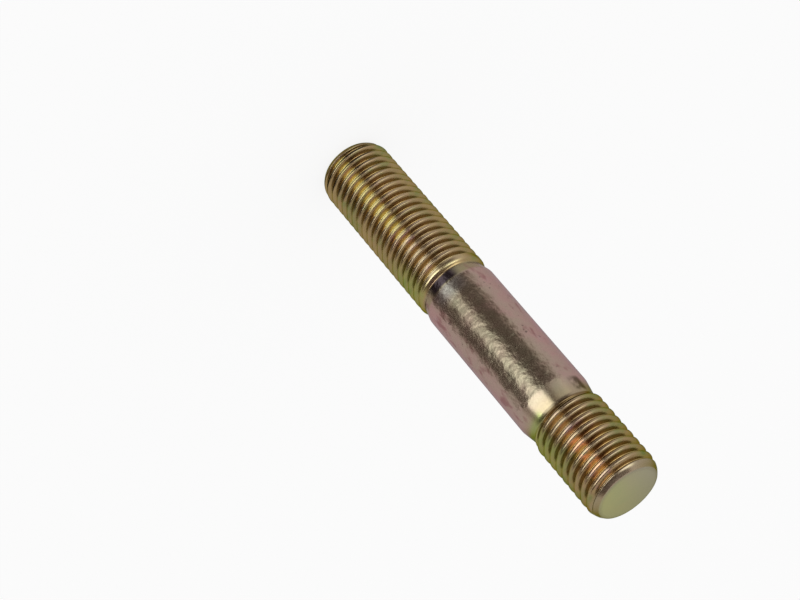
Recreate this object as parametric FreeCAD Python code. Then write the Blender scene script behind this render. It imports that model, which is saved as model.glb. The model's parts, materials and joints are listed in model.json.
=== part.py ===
import FreeCAD, Part
import math
import os
from FreeCAD import Base, Vector

# Double ended stud: one piece of steel with a plain shank and a rolled right-hand thread at each end.
# It stands on its long threaded end: +Z runs up the axis, and z = 0 is the lower end face.
# Lengths are in millimetres and angles in degrees.

# Whole stud
OVERALL_LENGTH = 100.0
SHANK_DIAMETER = 16.0
SHANK_CORNER_RADIUS = 3.0

# Thread, the same at both ends
MAJOR_DIAMETER = 16.0
PITCH = 2.0
CREST_FLAT = 0.25
FLANK_ANGLE = 30.0
PATCHES_PER_TURN = 8

# Lower, long threaded end. The angle turns its thread about the axis.
LONG_THREAD_LENGTH = 40.0
LONG_THREAD_ANGLE = -61.0
LONG_NECK_LENGTH = 1.3
LONG_CONE_LENGTH = 1.7

# Upper, short threaded end
SHORT_THREAD_LENGTH = 20.0
SHORT_THREAD_ANGLE = 126.0
SHORT_NECK_LENGTH = 1.8
SHORT_CONE_LENGTH = 2.8

# Where each thread starts and fades out
END_FACE_DIAMETER = 14.0
CHAMFER_LENGTH = 2.5
CREST_RUNOUT_LENGTH = 1.0
ROOT_RUNOUT_LENGTH = 2.2

ORIGIN = Vector(0, 0, 0)
AXIS = Vector(0, 0, 1)
SEWING_TOLERANCE = 0.0001

# The groove runs to a sharp root between flanks at the flank angle. The blank that the thread is rolled
# from has the pitch diameter, where ridge and groove are equally wide.
major_radius = MAJOR_DIAMETER / 2
flank_run = (PITCH - CREST_FLAT) / 2
flank_slope = 1 / math.tan(math.radians(FLANK_ANGLE))
root_radius = major_radius - flank_run * flank_slope
blank_radius = major_radius - (PITCH / 2 - CREST_FLAT) / 2 * flank_slope
end_face_radius = END_FACE_DIAMETER / 2
shank_radius = SHANK_DIAMETER / 2
patch_angle = 2 * math.pi / PATCHES_PER_TURN
patch_rise = PITCH / PATCHES_PER_TURN


def corner_arc(before, corner, after, rounding):
    """Arc that rounds an outline's corner, tangent to both of its sides."""
    arriving = (corner - before).normalize()
    leaving = (after - corner).normalize()
    half_turn = arriving.getAngle(leaving) / 2
    setback = rounding * math.tan(half_turn)
    inward = (leaving - arriving).normalize()
    middle = corner + inward * (rounding / math.cos(half_turn) - rounding)
    return Part.Arc(corner - arriving * setback, middle, corner + leaving * setback).toShape()


def revolved(corners):
    """Solid of revolution about the axis. Each corner of its outline is a radius, a height and, where
    the corner is rounded, the rounding's radius."""
    points = [Vector(corner[0], 0, corner[1]) for corner in corners]
    arcs = {}
    for index, corner in enumerate(corners):
        if len(corner) == 3:
            after = points[(index + 1) % len(points)]
            arcs[index] = corner_arc(points[index - 1], points[index], after, corner[2])
    edges = []
    for index in range(len(points)):
        following = (index + 1) % len(points)
        start = arcs[index].lastVertex().Point if index in arcs else points[index]
        end = arcs[following].firstVertex().Point if following in arcs else points[following]
        edges.append(Part.makeLine(start, end))
        if following in arcs:
            edges.append(arcs[following])
    return Part.Face(Part.Wire(edges)).revolve(ORIGIN, AXIS, 360)


def cylinder_surface(radius):
    surface = Part.Cylinder()
    surface.Radius = radius
    return surface


def drawn_on(surface, corners):
    """Edges between the (angle, height) corners, drawn as straight lines on the unrolled cylinder."""
    ends = [Base.Vector2d(angle, height) for angle, height in corners]
    return [Part.Geom2d.Line2dSegment(a, b).toShape(surface) for a, b in zip(ends, ends[1:])]


def helix_arc(radius, height, start):
    """One patch's stretch of a right-hand helix, from the start angle and height up."""
    corners = [(start, height), (start + patch_angle, height + patch_rise)]
    return drawn_on(cylinder_surface(radius), corners)[0]


def crest_patch(low, start):
    """Patch of the crest flat, a piece of the true major cylinder."""
    surface = cylinder_surface(major_radius)
    high = low + CREST_FLAT
    end = start + patch_angle
    corners = [(start, low), (end, low + patch_rise), (end, high + patch_rise), (start, high), (start, low)]
    return Part.Face(surface, Part.Wire(drawn_on(surface, corners)))


def ruled_patch(inner_arc, outer_arc, inner_radius, outer_radius):
    """Patch ruled between two arcs, weighted so that its parameters stay even along straight lines."""
    surface = Part.makeRuledSurface(inner_arc, outer_arc).Surface
    surface.setWeightCol(1, [1 / inner_radius] * surface.NbUPoles)
    surface.setWeightCol(2, [1 / outer_radius] * surface.NbUPoles)
    return surface.toShape()


def flank_patch(root_height, crest_height, start):
    root_arc = helix_arc(root_radius, root_height, start)
    crest_arc = helix_arc(major_radius, crest_height, start)
    return ruled_patch(root_arc, crest_arc, root_radius, major_radius)


def rod_end(bottom):
    """Faces that close a threaded rod: a spiral stair around the axis, and its one flat step."""
    faces = []
    for index in range(PATCHES_PER_TURN):
        height = bottom + index * patch_rise
        core = Part.makeLine(Vector(0, 0, height), Vector(0, 0, height + patch_rise))
        faces.append(Part.makeRuledSurface(core, helix_arc(root_radius, height, index * patch_angle)))
    top = bottom + PITCH
    step = [
        (0, bottom),
        (root_radius, bottom),
        (major_radius, bottom + flank_run),
        (major_radius, top - flank_run),
        (root_radius, top),
        (0, top),
        (0, bottom),
    ]
    faces.append(Part.Face(Part.makePolygon([Vector(radius, 0, height) for radius, height in step])))
    return faces


def threaded_rod(bottom, turns):
    """Rod with the full thread from end to end, sewn from helical patches."""
    faces = rod_end(bottom) + rod_end(bottom + turns * PITCH)
    for index in range(turns * PATCHES_PER_TURN):
        start = index % PATCHES_PER_TURN * patch_angle
        root = bottom + index * patch_rise
        crest = root + flank_run
        faces.append(flank_patch(root, crest, start))
        faces.append(crest_patch(crest, start))
        faces.append(flank_patch(root + PITCH, crest + CREST_FLAT, start))
    skin = Part.Compound(faces)
    skin.sewShape(SEWING_TOLERANCE)
    rod = Part.Solid(skin.Shells[0])
    if rod.Volume < 0:
        rod.reverse()
    return rod


def threaded_end(length, angle):
    """Threaded end that points down, from its end face at z = 0 up to the neck.

    The rod is cut to the end face's chamfer and to a cone that takes the crests down into the neck.
    Both cones run past the crests, and the upper one ends inside the shank's stem.
    """
    clear_radius = major_radius + PITCH / 2
    chamfer_rise = CHAMFER_LENGTH / (major_radius - end_face_radius)
    runout_rise = CREST_RUNOUT_LENGTH / (major_radius - blank_radius)
    envelope = revolved([
        (0, 0),
        (end_face_radius, 0),
        (clear_radius, (clear_radius - end_face_radius) * chamfer_rise),
        (clear_radius, length - (clear_radius - blank_radius) * runout_rise),
        (root_radius, length + (blank_radius - root_radius) * runout_rise),
        (0, length + (blank_radius - root_radius) * runout_rise),
    ])
    turns = math.ceil(length / PITCH) + 4
    rod = threaded_rod(-2 * PITCH, turns)
    rod.rotate(ORIGIN, AXIS, angle)
    return rod.common(envelope)


def shank():
    """Plain shank with a cone and a neck at both ends, and a stem inside each thread's run-out.

    The stems widen towards the necks, so the grooves grow shallow and fade out.
    """
    stem_radius = root_radius - PITCH / 4
    stem_length = (blank_radius - stem_radius) / (blank_radius - root_radius) * ROOT_RUNOUT_LENGTH
    long_neck = LONG_THREAD_LENGTH
    short_neck = OVERALL_LENGTH - SHORT_THREAD_LENGTH
    shank_bottom = long_neck + LONG_NECK_LENGTH + LONG_CONE_LENGTH
    shank_top = short_neck - SHORT_NECK_LENGTH - SHORT_CONE_LENGTH
    return revolved([
        (0, long_neck - stem_length),
        (stem_radius, long_neck - stem_length),
        (blank_radius, long_neck),
        (blank_radius, shank_bottom - LONG_CONE_LENGTH),
        (shank_radius, shank_bottom, SHANK_CORNER_RADIUS),
        (shank_radius, shank_top, SHANK_CORNER_RADIUS),
        (blank_radius, shank_top + SHORT_CONE_LENGTH),
        (blank_radius, short_neck),
        (stem_radius, short_neck + stem_length),
        (0, short_neck + stem_length),
    ])


def stud():
    long_end = threaded_end(LONG_THREAD_LENGTH, LONG_THREAD_ANGLE)
    short_end = threaded_end(SHORT_THREAD_LENGTH, SHORT_THREAD_ANGLE)
    short_end.rotate(ORIGIN, Vector(1, 0, 0), 180)
    short_end.translate(Vector(0, 0, OVERALL_LENGTH))
    return shank().fuse([long_end, short_end])


os.makedirs("parts", exist_ok=True)
stud().exportStep("parts/stud.step")
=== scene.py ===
import json
import math

import bmesh
import bpy
import numpy as np
from mathutils import Matrix, Vector


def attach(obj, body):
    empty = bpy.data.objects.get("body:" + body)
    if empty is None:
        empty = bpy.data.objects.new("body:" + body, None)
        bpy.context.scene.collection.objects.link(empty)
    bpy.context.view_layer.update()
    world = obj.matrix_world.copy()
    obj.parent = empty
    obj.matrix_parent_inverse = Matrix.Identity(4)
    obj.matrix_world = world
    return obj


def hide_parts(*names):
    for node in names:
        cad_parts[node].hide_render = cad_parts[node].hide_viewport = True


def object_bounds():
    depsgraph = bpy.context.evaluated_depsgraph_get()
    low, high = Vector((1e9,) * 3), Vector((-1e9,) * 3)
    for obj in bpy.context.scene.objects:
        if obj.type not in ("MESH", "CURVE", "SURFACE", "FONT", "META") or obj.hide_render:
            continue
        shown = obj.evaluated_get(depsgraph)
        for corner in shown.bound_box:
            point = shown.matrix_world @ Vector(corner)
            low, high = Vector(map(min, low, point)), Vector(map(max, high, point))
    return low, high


# A double ended stud in yellow zinc plating. It stands on its long threaded end, with its axis on Z.
# Lengths are in millimetres until a mesh is made, and angles are in degrees.

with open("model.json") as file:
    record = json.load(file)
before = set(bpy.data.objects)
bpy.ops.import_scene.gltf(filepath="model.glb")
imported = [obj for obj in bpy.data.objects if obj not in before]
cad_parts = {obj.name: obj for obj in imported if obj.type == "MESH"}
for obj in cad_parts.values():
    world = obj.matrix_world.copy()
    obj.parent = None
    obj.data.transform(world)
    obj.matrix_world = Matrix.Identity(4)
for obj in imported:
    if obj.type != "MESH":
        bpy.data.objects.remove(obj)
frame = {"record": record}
cad_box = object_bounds()

METRE = 1000.0
mounts = {mount["name"]: mount for mount in frame["record"]["mounts"]}


def crest_span(name):
    """Lowest and highest point at which a thread's crests have their full height."""
    middle = mounts[name]["pos_m"][2] * METRE
    half = mounts[name]["dims"]["length_mm"] / 2
    return middle - half, middle + half


# Sizes that the frame gives
LENGTH = (cad_box[1][2] - cad_box[0][2]) * METRE
CREST_RADIUS = mounts["long_thread"]["dims"]["r_mm"]
LONG_CREST_START = crest_span("long_thread")[0]
SHORT_CREST_END, SHORT_CREST_START = crest_span("short_thread")

# Rolled thread: both flanks lean 30 degrees, and the crest and the root are round.
PITCH = 2.0
FLANK_LEAN = 30.0
FLANK_SLOPE = 1 / math.tan(math.radians(FLANK_LEAN))
CREST_ROUNDING = 0.38
CREST_FLAT = 0.1
ROOT_ROUNDING = 0.2
LONG_THREAD_LENGTH = 40.0
SHORT_THREAD_LENGTH = 20.0

# Height of one crest of each thread, on the side of the stud that faces +X
LONG_CREST_HEIGHT = 1.0 + 61.0 / 180.0
SHORT_CREST_HEIGHT = LENGTH - 1.0 + 126.0 / 180.0

# Heights between which each thread's groove fades in, and between which it fades out
LONG_GROOVE_IN = (0.6, 1.5)
LONG_GROOVE_OUT = (LONG_THREAD_LENGTH - 2.0, LONG_THREAD_LENGTH - 1.1)
SHORT_GROOVE_IN = (LENGTH - SHORT_THREAD_LENGTH - 0.8, LENGTH - SHORT_THREAD_LENGTH + 0.4)
SHORT_GROOVE_OUT = (98.35, 98.9)
GROOVE_EDGE_BLEND = 0.1

# Necks, cones and end faces
NECK_RADIUS = 7.35
LONG_NECK_LENGTH = 0.5
LONG_CONE_LENGTH = 2.5
SHORT_NECK_LENGTH = 1.1
SHORT_CONE_LENGTH = 3.5
FACE_RADIUS = 6.7
CHAMFER_BEND_HEIGHT = 1.0
CHAMFER_BEND_RADIUS = 7.45
LAST_CREST_DROP = 0.2
CORNER_SOFTNESS = 0.25
FACE_EDGE = 0.75
FACE_EDGE_TURN = 53.0
FACE_EDGE_HEIGHT = FACE_EDGE * (1 - math.cos(math.radians(FACE_EDGE_TURN)))
FACE_DISH = 0.05

# Cards round the stud, which its reflections show
CARD_NEAR = 8.1
CARD_FAR = 250.0
CARD_HEIGHT = 420.0
ROOM_SHADE = 0.165

# Camera, whose place and direction are in metres
CAMERA_PLACE = Vector((0, -0.3669, 0.2714))
CAMERA_AHEAD = Vector((0.0230, 0.83903, -0.54360))
CAMERA_ROLL = 140.5
CAMERA_LENS = 95.85
CAMERA_SENSOR = 36.0

# Floor, its half width in metres
FLOOR_HALF = 3.0

# Mesh: columns round the axis, and rows as shares of one turn of the thread. Round the shank the rows
# lie closer together beside the necks than along its middle.
COLUMNS = 120
SHANK_MIDDLE = (44.0, 74.4)
FACE_SHARES = (0.0, 0.2, 0.4, 0.6, 0.8, 0.95)
FACE_EDGE_ROWS = 6
CREST_ROWS = (0.0, 0.03, 0.07, 0.11, 0.15, 0.185)
FLANK_ROWS = (0.26, 0.34)
ROOT_ROWS = (0.415, 0.45)


def eased(x, start, end):
    """0 before start, 1 after end, and a smooth rise between them."""
    t = np.clip((x - start) / (end - start), 0, 1)
    return t * t * (3 - 2 * t)


def softer_of(a, b, blend):
    """The smaller of a and b, with a rounded change from one to the other."""
    share = np.clip(0.5 + 0.5 * (b - a) / blend, 0, 1)
    return b * (1 - share) + a * share - blend * share * (1 - share)


def blank_radius(z):
    """Outline of the stud without its grooves, with its corners rounded a little."""
    long_neck = LONG_THREAD_LENGTH
    short_neck = LENGTH - SHORT_THREAD_LENGTH
    outline = [
        (0, FACE_RADIUS),
        (CHAMFER_BEND_HEIGHT, CHAMFER_BEND_RADIUS),
        (LONG_CREST_START, CREST_RADIUS),
        (long_neck - 1.15, CREST_RADIUS),
        (long_neck - 0.65, CREST_RADIUS - LAST_CREST_DROP / 4),
        (long_neck - 0.25, CREST_RADIUS - LAST_CREST_DROP),
        (long_neck + 0.1, NECK_RADIUS),
        (long_neck + LONG_NECK_LENGTH, NECK_RADIUS),
        (long_neck + LONG_NECK_LENGTH + LONG_CONE_LENGTH, CREST_RADIUS),
        (short_neck - SHORT_NECK_LENGTH - SHORT_CONE_LENGTH, CREST_RADIUS),
        (short_neck - SHORT_NECK_LENGTH, NECK_RADIUS),
        (short_neck - 0.3, NECK_RADIUS),
        (SHORT_CREST_END - 0.3, CREST_RADIUS),
        (SHORT_CREST_START, CREST_RADIUS),
        (LENGTH - CHAMFER_BEND_HEIGHT, CHAMFER_BEND_RADIUS),
        (LENGTH, FACE_RADIUS),
    ]
    heights, radii = zip(*outline)
    spread = np.linspace(-CORNER_SOFTNESS, CORNER_SOFTNESS, 11)
    return np.mean([np.interp(z + shift, heights, radii) for shift in spread], axis=0)


def groove_depth(z, angle, crest_height, first, last):
    """Depth of a thread's groove under its crests. The thread is right-handed.

    The groove fades in as its middle climbs through the heights in first, and out through those in last.
    """
    from_root = (z - crest_height - angle / 360 * PITCH) % PITCH - PITCH / 2
    middle = z - from_root
    from_root = np.abs(from_root)
    from_edge = np.maximum(PITCH / 2 - from_root - CREST_FLAT / 2, 0)
    crest = CREST_RADIUS - CREST_ROUNDING + np.sqrt(np.maximum(CREST_ROUNDING**2 - from_edge**2, 0))
    flank = CREST_RADIUS + CREST_ROUNDING - FLANK_SLOPE * from_edge
    bottom = CREST_RADIUS + CREST_ROUNDING - FLANK_SLOPE * (PITCH - CREST_FLAT) / 2 + 2 * ROOT_ROUNDING
    root = bottom - np.sqrt(np.maximum(ROOT_ROUNDING**2 - from_root**2, 0))
    tangent = math.cos(math.radians(FLANK_LEAN))
    radius = np.where(from_edge < CREST_ROUNDING * tangent, crest, flank)
    radius = np.where(from_root < ROOT_ROUNDING * tangent, root, radius)
    return (CREST_RADIUS - radius) * eased(middle, *first) * (1 - eased(middle, *last))


def stud_radius(z, angle):
    """Radius of the stud's surface at a height and an angle."""
    grooves = groove_depth(z, angle, LONG_CREST_HEIGHT, LONG_GROOVE_IN, LONG_GROOVE_OUT)
    grooves += groove_depth(z, angle, SHORT_CREST_HEIGHT, SHORT_GROOVE_IN, SHORT_GROOVE_OUT)
    return softer_of(blank_radius(z), CREST_RADIUS - grooves, GROOVE_EDGE_BLEND)


def thread_rows(bottom, top, crest_height):
    """Heights of the mesh's rows through a thread, one row per line and one column per angle.

    The rows climb with the thread, so that its crest and root lie on them. Those past the thread's
    ends are held there.
    """
    half = CREST_ROWS + FLANK_ROWS + ROOT_ROWS
    shares = [-share for share in reversed(half[1:])] + list(half) + [0.5]
    first = math.floor((bottom - crest_height) / PITCH) - 2
    last = math.ceil((top - crest_height) / PITCH) + 1
    starts = [crest_height + (turn + share) * PITCH for turn in range(first, last + 1) for share in shares]
    climb = np.arange(COLUMNS + 1) / COLUMNS * PITCH
    return np.clip(np.array(starts)[:, None] + climb[None, :], bottom, top)


def level_rows(heights):
    """Rows of the mesh that stay level all the way round."""
    return np.repeat(np.array(heights)[:, None], COLUMNS + 1, axis=1)


def add_grid(mesh, heights, radii):
    """Skin over a grid of points, whose columns go once round the axis."""
    angles = np.arange(COLUMNS + 1) / COLUMNS * 2 * math.pi
    x = radii * np.cos(angles)[None, :] / METRE
    y = radii * np.sin(angles)[None, :] / METRE
    z = heights / METRE
    rows = [[mesh.verts.new(point) for point in zip(*line)] for line in zip(x, y, z)]
    for low, high in zip(rows, rows[1:]):
        for corner in range(COLUMNS):
            mesh.faces.new((low[corner], low[corner + 1], high[corner + 1], high[corner]))


def add_end_face(mesh, up):
    """An end face: a shallow dish, and a rounded edge that meets the chamfer without a crease."""
    angles = np.arange(COLUMNS + 1) / COLUMNS * 360
    turn = np.radians(np.linspace(0, FACE_EDGE_TURN, FACE_EDGE_ROWS))[:, None]
    edge = stud_radius(LENGTH - FACE_EDGE_HEIGHT if up else FACE_EDGE_HEIGHT, angles)
    flat = edge - FACE_EDGE * math.sin(math.radians(FACE_EDGE_TURN))
    radii = [flat * share for share in FACE_SHARES]
    heights = [FACE_DISH * (1 - share**2) + 0 * angles for share in FACE_SHARES]
    radii = np.vstack([np.array(radii), flat + FACE_EDGE * np.sin(turn)])
    heights = np.vstack([np.array(heights), FACE_EDGE * (1 - np.cos(turn)) + 0 * angles])
    if up:
        add_grid(mesh, LENGTH - heights[::-1], radii[::-1])
    else:
        add_grid(mesh, heights, radii)


def build_stud():
    """The stud's skin, as one closed mesh."""
    mesh = bmesh.new()
    angles = np.arange(COLUMNS + 1) / COLUMNS * 360
    long_top = LONG_THREAD_LENGTH - 0.3
    short_bottom = LENGTH - SHORT_THREAD_LENGTH - 0.6
    long_neck = np.linspace(long_top, SHANK_MIDDLE[0], 40)
    shank_rows = np.linspace(*SHANK_MIDDLE, 90)
    short_neck = np.linspace(SHANK_MIDDLE[1], short_bottom, 30)
    sections = [
        thread_rows(FACE_EDGE_HEIGHT, long_top, LONG_CREST_HEIGHT),
        level_rows(np.concatenate([long_neck, shank_rows[1:-1], short_neck])),
        thread_rows(short_bottom, LENGTH - FACE_EDGE_HEIGHT, SHORT_CREST_HEIGHT),
    ]
    for heights in sections:
        add_grid(mesh, heights, stud_radius(heights, angles[None, :]))
    for up in (False, True):
        add_end_face(mesh, up)
    bmesh.ops.remove_doubles(mesh, verts=mesh.verts, dist=1e-6)
    bmesh.ops.dissolve_degenerate(mesh, edges=mesh.edges, dist=1e-7)
    bmesh.ops.recalc_face_normals(mesh, faces=mesh.faces)
    for face in mesh.faces:
        face.smooth = True
    data = bpy.data.meshes.new("plated_stud")
    mesh.to_mesh(data)
    mesh.free()
    stud = bpy.data.objects.new("plated_stud", data)
    bpy.context.collection.objects.link(stud)
    return stud


class Reading:
    """A number that varies over a surface, as an output of one of a finish's nodes."""

    def __init__(self, finish, output):
        self.finish = finish
        self.output = output

    def math(self, operation, *others):
        values = dict(enumerate((self,) + others))
        return self.finish.node("ShaderNodeMath", {"operation": operation}, values)

    def __add__(self, other):
        return self.math("ADD", other)

    def __mul__(self, other):
        return self.math("MULTIPLY", other)

    def __sub__(self, other):
        return self.math("SUBTRACT", other)

    def __rsub__(self, other):
        values = {0: other, 1: self}
        return self.finish.node("ShaderNodeMath", {"operation": "SUBTRACT"}, values)

    __radd__ = __add__
    __rmul__ = __mul__

    def between(self, start, end):
        """0 at start, 1 at end, and a smooth change between them."""
        settings = {"interpolation_type": "SMOOTHSTEP"}
        sockets = {"Value": self, "From Min": start, "From Max": end}
        return self.finish.node("ShaderNodeMapRange", settings, sockets)

    def within(self, start, full, fading, gone):
        """1 from full to fading, and 0 before start and after gone."""
        return self.between(start, full) * (1 - self.between(fading, gone))


class Finish:
    """A material and the nodes that make it."""

    def __init__(self, name):
        self.material = bpy.data.materials.new(name)
        self.material.use_nodes = True
        self.tree = self.material.node_tree
        self.tree.nodes.clear()

    def node(self, kind, settings, sockets, output=0):
        made = self.tree.nodes.new(kind)
        for name, value in settings.items():
            if name == "stops":
                self.set_stops(made.color_ramp, value)
            else:
                setattr(made, name, value)
        for name, value in sockets.items():
            if isinstance(value, Reading):
                self.tree.links.new(value.output, made.inputs[name])
            else:
                made.inputs[name].default_value = value
        return Reading(self, made.outputs[output])

    def set_stops(self, ramp, stops):
        while len(ramp.elements) < len(stops):
            ramp.elements.new(0.5)
        for element, (position, colour) in zip(ramp.elements, stops):
            element.position = position
            element.color = colour

    def place(self):
        """The point on the surface, in millimetres."""
        metres = self.node("ShaderNodeTexCoord", {}, {}, "Object")
        return self.node("ShaderNodeVectorMath", {"operation": "SCALE"}, {0: metres, "Scale": METRE})

    def split(self, place):
        """A point's three coordinates."""
        return [self.node("ShaderNodeSeparateXYZ", {}, {0: place}, axis) for axis in range(3)]

    def stretched(self, place, *factors):
        return self.node("ShaderNodeVectorMath", {"operation": "MULTIPLY"}, {0: place, 1: factors})

    def noise(self, place, size, detail):
        """Random patches about as large as size, from 0 to 1 and mostly near 0.5."""
        sockets = {"Vector": place, "Scale": 1 / size, "Detail": detail}
        return self.node("ShaderNodeTexNoise", {}, sockets)

    def ramp(self, share, stops):
        return self.node("ShaderNodeValToRGB", {"stops": stops}, {0: share}, "Color")

    def bump(self, height, depth, under=None):
        """Surface that is raised by height times depth, in millimetres."""
        sockets = {"Height": height, "Strength": 1.0, "Distance": depth / METRE}
        if under is not None:
            sockets["Normal"] = under
        return self.node("ShaderNodeBump", {}, sockets)

    def mix(self, share, first, second):
        """The first colour, or as much of the second as share says."""
        settings = {"data_type": "RGBA"}
        return self.node("ShaderNodeMix", settings, {0: share, 6: first, 7: second}, 2)

    def show(self, shader):
        output = self.tree.nodes.new("ShaderNodeOutputMaterial")
        self.tree.links.new(shader.output, output.inputs["Surface"])


def srgb(red, green, blue):
    """A colour given in the usual 0 to 255 steps, as the shader's own linear values."""
    channels = []
    for step in (red, green, blue):
        share = step / 255
        channels.append(share / 12.92 if share <= 0.04045 else ((share + 0.055) / 1.055) ** 2.4)
    return (*channels, 1)


THREAD_TINTS = [
    (0.16, srgb(112, 122, 78)),
    (0.34, srgb(138, 130, 88)),
    (0.5, srgb(154, 128, 96)),
    (0.62, srgb(160, 136, 96)),
    (0.74, srgb(158, 122, 108)),
    (0.88, srgb(126, 100, 112)),
]
SHANK_TINTS = [
    (0.2, srgb(148, 138, 120)),
    (0.4, srgb(154, 137, 122)),
    (0.56, srgb(158, 134, 124)),
    (0.7, srgb(162, 130, 124)),
    (0.84, srgb(158, 138, 136)),
]

# Colours of the film, each named for its place on the stud. Some of them paint highlight or shade instead,
# as said beside them.
FILM_GROOVE = srgb(194, 158, 108)
FILM_GROOVE_BY_SHANK = srgb(158, 136, 110)
FILM_SHORT_CHAMFER = srgb(160, 143, 128)
# Olive on the thread's sides: partly the film's colour, partly painted shade
FILM_AND_SHADE_THREAD_SIDES = srgb(116, 106, 58)
# Paler crests on the front: a painted highlight
PAINTED_HIGHLIGHT_CREST = srgb(180, 160, 144)
# The next two colours paint a highlight stripe along the long thread's front, in its grooves and on its
# crests
PAINTED_HIGHLIGHT_STRIPE_GROOVE = srgb(198, 182, 126)
PAINTED_HIGHLIGHT_STRIPE_CREST = srgb(158, 142, 92)
# Pale last crest of the long thread: a painted highlight
PAINTED_HIGHLIGHT_LAST_CREST = srgb(206, 190, 150)
FILM_GREEN_BY_NECKS = srgb(138, 144, 74)
# Dark chamfer of the long end: a painted shade
PAINTED_SHADE_LONG_CHAMFER = srgb(92, 80, 76)
FILM_NECK = srgb(153, 136, 114)
FILM_NECK_GREEN = srgb(140, 144, 94)
# Dark first root of the short thread: a painted shade
PAINTED_SHADE_FIRST_ROOT = srgb(104, 82, 54)
FILM_FACE_GREY = srgb(168, 161, 143)
FILM_FACE_YELLOW = srgb(178, 173, 129)
FILM_FACE_GREEN = srgb(166, 169, 131)
FILM_FACE_DIM = srgb(150, 146, 120)
FILM_FACE_RIM = srgb(126, 116, 96)
FILM_ORANGE = srgb(206, 156, 128)
FILM_RED = srgb(104, 36, 30)
FILM_BESIDE_NECK = srgb(152, 150, 156)
FILM_LONG_NECK = srgb(132, 126, 88)
# Dark purple on the front of the long thread's neck: a painted shade
PAINTED_SHADE_PURPLE = srgb(64, 54, 60)
FILM_MARK = srgb(126, 86, 84)
# Dark blotchy spot on the left of the short thread's cone
DARK_SPOT = srgb(62, 52, 34)
FILM_PIT = srgb(70, 58, 50)
FILM_THREAD_EDGE_TINT = srgb(160, 164, 132)
FILM_SHANK_EDGE_TINT = srgb(215, 200, 205)


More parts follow.
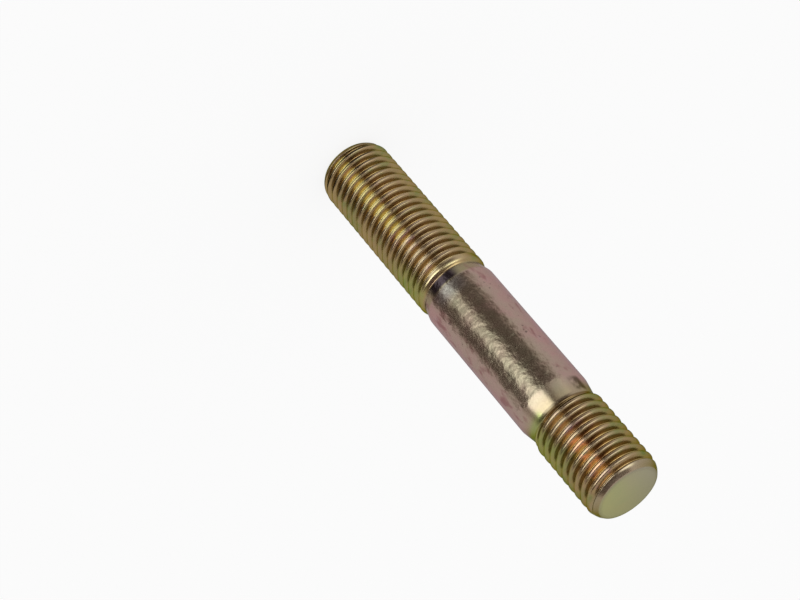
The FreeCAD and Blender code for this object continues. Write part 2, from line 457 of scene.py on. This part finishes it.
def zinc_finish():
    """Yellow passivated zinc: a coloured film on the threads and the shank, over half-glossy metal."""
    finish = Finish("yellow_zinc")
    place = finish.place()
    x, y, height = finish.split(place)
    across = finish.stretched(place, 1, 1, 0)
    radius = finish.node("ShaderNodeVectorMath", {"operation": "LENGTH"}, {0: across}, "Value")
    in_groove = radius.between(7.8, 7.0)
    on_crest = radius.between(7.8, 7.96)
    on_shank = height.within(40.0, 40.6, 75.6, 78.8)
    on_end = height.between(99.75, 99.9) + (1 - height.between(0.1, 0.25))
    aside = finish.node("ShaderNodeMath", {"operation": "ABSOLUTE"}, {0: x}).between(2, 7)

    broad = finish.noise(place, 8.0, 2.0)
    small = finish.noise(place, 2.2, 3.0)
    film = broad * 0.7 + small * 0.5 - 0.1
    thread = finish.ramp(film * 1.4 - aside * 0.14 - 0.14, THREAD_TINTS)
    thread = finish.mix(in_groove * 0.6, thread, FILM_GROOVE)
    by_shank = height.within(26, 31, 84, 88)
    thread = finish.mix(by_shank * in_groove * 0.7, thread, FILM_GROOVE_BY_SHANK)
    thread = finish.mix(height.between(97.9, 98.6) * 0.8, thread, FILM_SHORT_CHAMFER)
    # Darker olive on the thread's sides, most in the grooves: partly the film's colour, partly painted
    # shade
    thread = finish.mix(aside * (in_groove * 0.4 + 0.25), thread, FILM_AND_SHADE_THREAD_SIDES)
    # Paler crests on the front, away from the sides: a painted highlight
    thread = finish.mix(on_crest * (1 - aside) * 0.5, thread, PAINTED_HIGHLIGHT_CREST)

    # A painted highlight stripe along the long thread on the side that faces -Y, yellower in its grooves
    # and toned on its crests, and a painted highlight on the last crest
    painted_highlight_stripe = x.within(-1.0, 0.4, 2.2, 3.4) * (1 - y.between(-6, -4))
    painted_highlight_stripe = painted_highlight_stripe * (1 - height.between(25.5, 30.0))
    thread = finish.mix(painted_highlight_stripe * in_groove * 0.85, thread, PAINTED_HIGHLIGHT_STRIPE_GROOVE)
    thread = finish.mix(painted_highlight_stripe * on_crest * 0.7, thread, PAINTED_HIGHLIGHT_STRIPE_CREST)
    painted_last_crest_highlight = height.within(37.2, 38.0, 39.7, 39.9)
    thread = finish.mix(painted_last_crest_highlight * (1 - aside) * 0.5, thread, PAINTED_HIGHLIGHT_LAST_CREST)

    # A greener film beside the necks, on the side that faces +X
    by_necks = height.within(27, 34, 39.8, 40.2)
    by_necks = by_necks + height.within(79.0, 80.0, 86, 92)
    thread = finish.mix(by_necks * x.between(3.2, 5.6) * 0.4, thread, FILM_GREEN_BY_NECKS)

    # The chamfer of the long end is painted dark, a painted shade
    shaded_tip = 1 - height.between(0.9, 1.9)
    thread = finish.mix(shaded_tip * 0.6, thread, PAINTED_SHADE_LONG_CHAMFER)

    # The short thread's neck
    neck = height.within(75.0, 76.2, 79.2, 80.4)
    neck_green = x.between(2.2, 3.6) * height.between(77, 79)
    neck_film = finish.mix(neck_green, FILM_NECK, FILM_NECK_GREEN)
    thread = finish.mix(neck, thread, neck_film)

    # The first root of the short thread is painted dark, a painted shade
    shaded_first_root = height.within(79.2, 79.6, 80.3, 80.8)
    thread = finish.mix(shaded_first_root * (1 - x.between(2.2, 3.6)) * 0.85, thread, PAINTED_SHADE_FIRST_ROOT)

    # The end faces, greyer on one side and dimmer towards the rim
    face = finish.mix(x.between(-7, 5), FILM_FACE_GREY, FILM_FACE_YELLOW)
    face = finish.mix(broad.between(0.4, 0.65) * 0.5, face, FILM_FACE_GREEN)
    face = finish.mix(y.between(-5, 7) * 0.5, face, FILM_FACE_DIM)
    face = finish.mix(radius.between(5.8, 7.0) * 0.5, face, FILM_FACE_RIM)
    thread = finish.mix(on_end, thread, face)

    # Red and orange film near the short end, on the side that faces -Y
    spot = height.within(86, 89, 94, 97.5) * (1 - y.between(-7.6, -6.2))
    orange = spot * x.within(-0.8, 0.6, 1.8, 3.4) * small.between(0.36, 0.56)
    red = spot * x.within(-3.0, -1.6, -0.4, 0.8) * in_groove * broad.between(0.4, 0.5)
    thread = finish.mix(orange * 0.85, thread, FILM_ORANGE)
    thread = finish.mix(red * 0.8, thread, FILM_RED)

    # The long thread's neck is olive, with a painted shade in dark purple on its front, and grey beside it
    shank = finish.ramp(film * 0.9 + aside * 0.2 - 0.08, SHANK_TINTS)
    in_front = x.within(-3.6, -1.2, 3.2, 5.2) * (1 - y.between(-4, -1))
    beside_neck = height.within(42.6, 43.4, 44.5, 47.5) * in_front
    in_neck = height.within(39.9, 40.3, 42.3, 43.2)
    shank = finish.mix(beside_neck * 0.5, shank, FILM_BESIDE_NECK)
    shank = finish.mix(in_neck * 0.7, shank, FILM_LONG_NECK)
    shank = finish.mix(in_neck * in_front, shank, PAINTED_SHADE_PURPLE)

    # Darker, redder marks along the shank, and fine pits
    along = finish.stretched(place, 1, 1, 0.45)
    mark = finish.noise(along, 1.7, 2.0).between(0.56, 0.72) * aside
    shank = finish.mix(mark * 0.7, shank, FILM_MARK)
    # A dark blotchy spot on the left of the short thread's cone
    dark_spot = x.within(-7.3, -6.7, -5.9, -5.0) * (1 - y.between(-3, -2))
    dark_spot = dark_spot * height.within(75.2, 76.2, 78.2, 79.2) * small.between(0.3, 0.5)
    shank = finish.mix(dark_spot * 0.8, shank, DARK_SPOT)
    thread = finish.mix(dark_spot * 0.8, thread, DARK_SPOT)
    pit = finish.noise(place, 0.8, 1.0).between(0.7, 0.78) * (1 - neck)
    shank = finish.mix(pit * 0.6, shank, FILM_PIT)

    grain = finish.noise(place, 0.5, 3.0)
    mottle = finish.noise(place, 1.6, 2.0)
    uneven = finish.bump(mottle * (1 - height.between(74.6, 75.8)), 0.175)
    pitted = finish.bump(grain - pit, 0.012, uneven)
    thread_shader = finish.node(
        "ShaderNodeBsdfPrincipled",
        {},
        {
            "Base Color": thread,
            "Metallic": 1.0,
            "Roughness": grain * 0.12 + on_end * 0.2 + 0.18,
            "Specular Tint": FILM_THREAD_EDGE_TINT,
            "Normal": finish.bump(grain, 0.006),
        },
    )
    shank_shader = finish.node(
        "ShaderNodeBsdfPrincipled",
        {},
        {
            "Base Color": shank,
            "Metallic": 1.0,
            "Roughness": mottle * 0.1 + 0.2,
            "Specular Tint": FILM_SHANK_EDGE_TINT,
            "Normal": pitted,
        },
    )
    finish.show(finish.node("ShaderNodeMixShader", {}, {0: on_shank, 1: thread_shader, 2: shank_shader}))
    return finish.material


def floor_finish():
    """Pale matt floor, which the camera and reflections see as nearly white."""
    finish = Finish("pale_floor")
    plain = finish.node("ShaderNodeBsdfDiffuse", {}, {"Color": srgb(240, 240, 240)})
    white = finish.node("ShaderNodeEmission", {}, {"Color": (1, 1, 1, 1), "Strength": 1.0})
    camera = finish.node("ShaderNodeLightPath", {}, {}, "Is Camera Ray")
    glossy = finish.node("ShaderNodeLightPath", {}, {}, "Is Glossy Ray")
    through = finish.node("ShaderNodeLightPath", {}, {}, "Is Transmission Ray")
    seen = camera + glossy + through
    finish.show(finish.node("ShaderNodeMixShader", {}, {0: seen * 0.85, 1: plain, 2: white}))
    return finish.material


def build_floor():
    data = bpy.data.meshes.new("floor")
    half = FLOOR_HALF
    corners = [(-half, -half, 0), (half, -half, 0), (half, half, 0), (-half, half, 0)]
    data.from_pydata(corners, [], [(0, 1, 2, 3)])
    floor = bpy.data.objects.new("floor", data)
    bpy.context.collection.objects.link(floor)
    data.materials.append(floor_finish())


def aimed(place, target, roll):
    """Matrix of something at a place that looks at a target down its own -Z, with its own Y up."""
    ahead = (Vector(target) - Vector(place)).normalized()
    turn = ahead.to_track_quat("-Z", "Y").to_matrix().to_4x4()
    return Matrix.Translation(place) @ turn @ Matrix.Rotation(math.radians(roll), 4, "Z")


def room_finish():
    """What stands behind the camera: a dim room with a soft upright lamp, a high pale wall to its left
    and a faint one to its right, on a floor that glows in a strip below the lamp."""
    finish = Finish("room")
    place = finish.place()
    x, y, height = finish.split(place)
    angle = finish.node("ShaderNodeMath", {"operation": "ARCTAN2"}, {0: y, 1: x}) * (180 / math.pi)
    across = finish.stretched(place, 1, 1, 0)
    distance = finish.node("ShaderNodeVectorMath", {"operation": "LENGTH"}, {0: across}, "Value")
    foot = (1 - distance.between(48, 68)) * (1 - angle.between(-126, -106))
    dark = angle.within(-162, -130, -26, -2) * (1 - foot)
    # A darker ring round the stud's foot: a painted shadow, which only the reflections show
    painted_foot_shadow = (1 - distance.between(14, 24)) * angle.within(-165, -135, -30, 0)
    behind = angle.within(52, 80, 100, 128)
    strip = angle.within(-98, -76, -68, -44)
    lamp = angle.within(-98, -88, -40, -32)
    on_wall = distance.between(CARD_FAR - 5, CARD_FAR - 1)
    near = (1 - distance.between(45, 83)) * 2.1
    far = distance.between(70, 160) * 2.0
    tall = height.within(4, 10, 66, 76)
    left = angle.within(-164, -142, -124, -98)
    right = angle.within(-42, -34, -14, 0) * (1 - height.between(66, 76))
    wall_glow = lamp * tall * 4.4 + right * 0.35
    wall_glow = wall_glow + left * (height.between(95, 120) * 2.0 + 0.9) * (1 - height.between(210, 270))
    on_floor = (near + far + 0.5) * (1 - on_wall)
    glow = strip * on_floor + on_wall * wall_glow
    strength = (1 - dark * (1 - ROOM_SHADE) - behind * 0.6 + glow) * (1 - painted_foot_shadow * 0.85) * 0.95
    colour = finish.mix(dark, (1, 1, 1, 1), srgb(255, 238, 222))
    colour = finish.mix(glow, colour, srgb(244, 253, 243))
    finish.show(finish.node("ShaderNodeEmission", {}, {"Color": colour, "Strength": strength}))
    return finish.material


def add_room():
    """The room behind the camera, which only the stud's reflections show: a disc on the floor, and a
    wall on the part of its edge that is behind the camera."""
    angles = np.radians(np.linspace(-180, 180, 121))
    rings = [(CARD_NEAR, 0.5), (CARD_FAR, 0.5), (CARD_FAR, CARD_HEIGHT)]
    points = [
        (radius * math.cos(angle) / METRE, radius * math.sin(angle) / METRE, height / METRE)
        for radius, height in rings
        for angle in angles
    ]
    count = len(angles)
    faces = []
    for step in range(count - 1):
        faces.append((step, step + 1, count + step + 1, count + step))
        if -170 < math.degrees(angles[step]) < 0:
            faces.append((count + step, count + step + 1, 2 * count + step + 1, 2 * count + step))
    data = bpy.data.meshes.new("room")
    data.from_pydata(points, [], faces)
    data.materials.append(room_finish())
    room = bpy.data.objects.new("room", data)
    bpy.context.collection.objects.link(room)
    room.visible_camera = False
    room.visible_diffuse = False
    room.visible_shadow = False


def add_camera():
    data = bpy.data.cameras.new("camera")
    data.lens = CAMERA_LENS
    data.sensor_width = CAMERA_SENSOR
    camera = bpy.data.objects.new("camera", data)
    target = CAMERA_PLACE + CAMERA_AHEAD
    camera.matrix_world = aimed(CAMERA_PLACE, target, CAMERA_ROLL)
    bpy.context.collection.objects.link(camera)
    bpy.context.scene.camera = camera


def light_world():
    """Even light from all round, a little stronger from the sides than from above."""
    world = bpy.data.worlds.new("studio")
    bpy.context.scene.world = world
    world.use_nodes = True
    tree = world.node_tree
    direction = tree.nodes.new("ShaderNodeTexCoord")
    split = tree.nodes.new("ShaderNodeSeparateXYZ")
    shade = tree.nodes.new("ShaderNodeMapRange")
    shade.inputs["From Min"].default_value = 0.5
    shade.inputs["To Min"].default_value = 0.95
    shade.inputs["To Max"].default_value = 0.8
    tree.links.new(direction.outputs["Generated"], split.inputs["Vector"])
    tree.links.new(split.outputs["Z"], shade.inputs["Value"])
    background = tree.nodes["Background"]
    background.inputs["Color"].default_value = (1, 1, 1, 1)
    tree.links.new(shade.outputs["Result"], background.inputs["Strength"])


stud = build_stud()
stud.data.materials.append(zinc_finish())
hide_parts("stud")
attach(stud, "root")

build_floor()
light_world()
add_room()
add_camera()

bpy.context.scene.view_settings.view_transform = "Standard"
